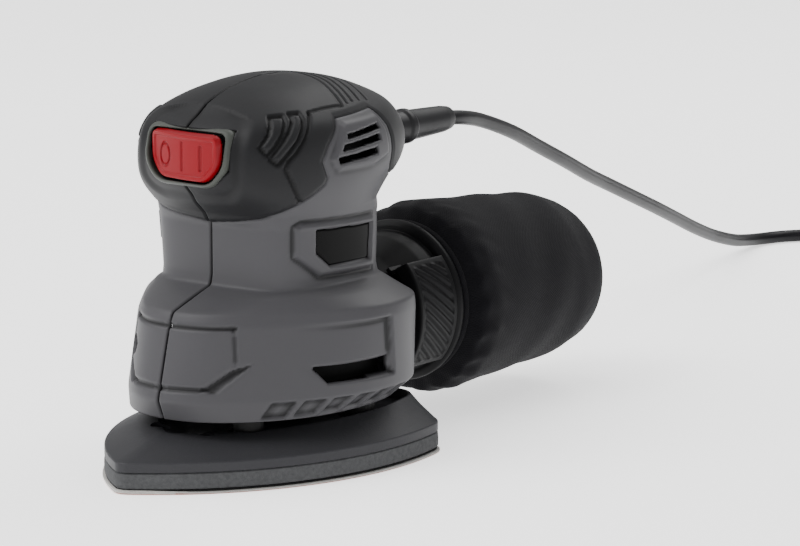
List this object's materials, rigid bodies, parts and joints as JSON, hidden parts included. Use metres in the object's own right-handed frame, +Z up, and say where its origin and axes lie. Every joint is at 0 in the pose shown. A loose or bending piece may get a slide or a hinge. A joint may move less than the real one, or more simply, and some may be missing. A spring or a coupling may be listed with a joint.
{
  "type": "detail sander",
  "caption": "Palm-grip electric detail sander with a delta pad on an orbital drive, a rocker switch, a push-on dust collar with a cloth bag, and a coiled mains lead.",
  "frame": {"origin": "on the sanding face, under the motor shaft's axis", "axes": "+Z up along the motor shaft, -Y towards the pad's tip, +Y towards the dust bag and the lead, +X to the tool's side"},
  "size_m": [0.1895, 0.6872, 0.1533],
  "materials": {
    "grey_shell": "satin",
    "rubber_grip": "matte",
    "rocker_red": "satin",
    "black_plastic": "satin",
    "pad_plastic": "textured",
    "label_film": "gloss",
    "cord_pvc": "satin",
    "steel": "ground",
    "nickel": "polished",
    "laminations": "stacked",
    "copper": "enamelled wire",
    "brass": "stamped",
    "zinc": "die cast",
    "carbon": "matte",
    "post_rubber": "matte",
    "foam": "open cell",
    "hook_fabric": "hooks",
    "abrasive": "aluminium oxide grit on paper, white loop backing",
    "bag_cloth": "woven polyester",
    "capacitor_film": "dipped"
  },
  "bodies": {
    "tool_body": {"left_housing": "grey_shell", "right_housing": "grey_shell", "left_grip": "rubber_grip", "right_grip": "rubber_grip", "housing_screws": "steel", "switch_bezel": "grey_shell", "switch_body": "black_plastic", "left_label": "label_film", "right_label": "label_film", "cord_protector": "cord_pvc", "cord_clamp": "black_plastic", "clamp_screws": "steel", "cord_tail": "cord_pvc", "power_cord": "cord_pvc", "cord_coil": "cord_pvc", "cord_tie": "black_plastic", "plug_body": "cord_pvc", "plug_pins": "nickel", "capacitor": "capacitor_film", "stator_core": "laminations", "field_coils": "copper", "upper_bearing": "steel", "lower_bearing": "steel", "bearing_plate": "black_plastic", "brush_holders": "brass", "carbon_brushes": "carbon", "brush_springs": "steel", "rubber_posts": "post_rubber", "dust_port": "black_plastic"},
    "rotor": {"armature_core": "laminations", "armature_winding": "copper", "motor_shaft": "steel", "commutator": "copper", "cooling_fan": "black_plastic", "eccentric_balancer": "zinc"},
    "pad": {"pad_bearing": "steel", "pad_screw": "steel", "platen": "pad_plastic", "foam_pad": "foam", "hook_layer": "hook_fabric", "sanding_sheet": "abrasive"},
    "dust_box": {"dust_collar": "black_plastic", "bag_hem": "bag_cloth", "dust_bag": "bag_cloth"},
    "rocker": {"rocker_cap": "rocker_red"}
  },
  "joints": [
    {"name": "rotor_spin", "type": "hinge", "parent": "tool_body", "child": "rotor", "pos_m": [0, 0, 0.09], "axis": [0, 0, 1], "continuous": true},
    {"name": "pad_orbit", "type": "hinge", "parent": "rotor", "child": "pad", "pos_m": [0.001, 0, 0.023], "axis": [0, 0, 1], "continuous": true, "deforming": ["rubber_posts"]},
    {"name": "dust_box_pull", "type": "slide", "parent": "tool_body", "child": "dust_box", "axis": [0, 1, 0], "range_m": [0, 0.03]},
    {"name": "rocker_tilt", "type": "hinge", "parent": "tool_body", "child": "rocker", "pos_m": [0, -0.0486, 0.1272], "axis": [0, 0, 1], "range_deg": [0, 10]}
  ],
  "couplings": [
    {"joint": "pad_orbit", "follows": "rotor_spin", "ratio": -1}
  ]
}
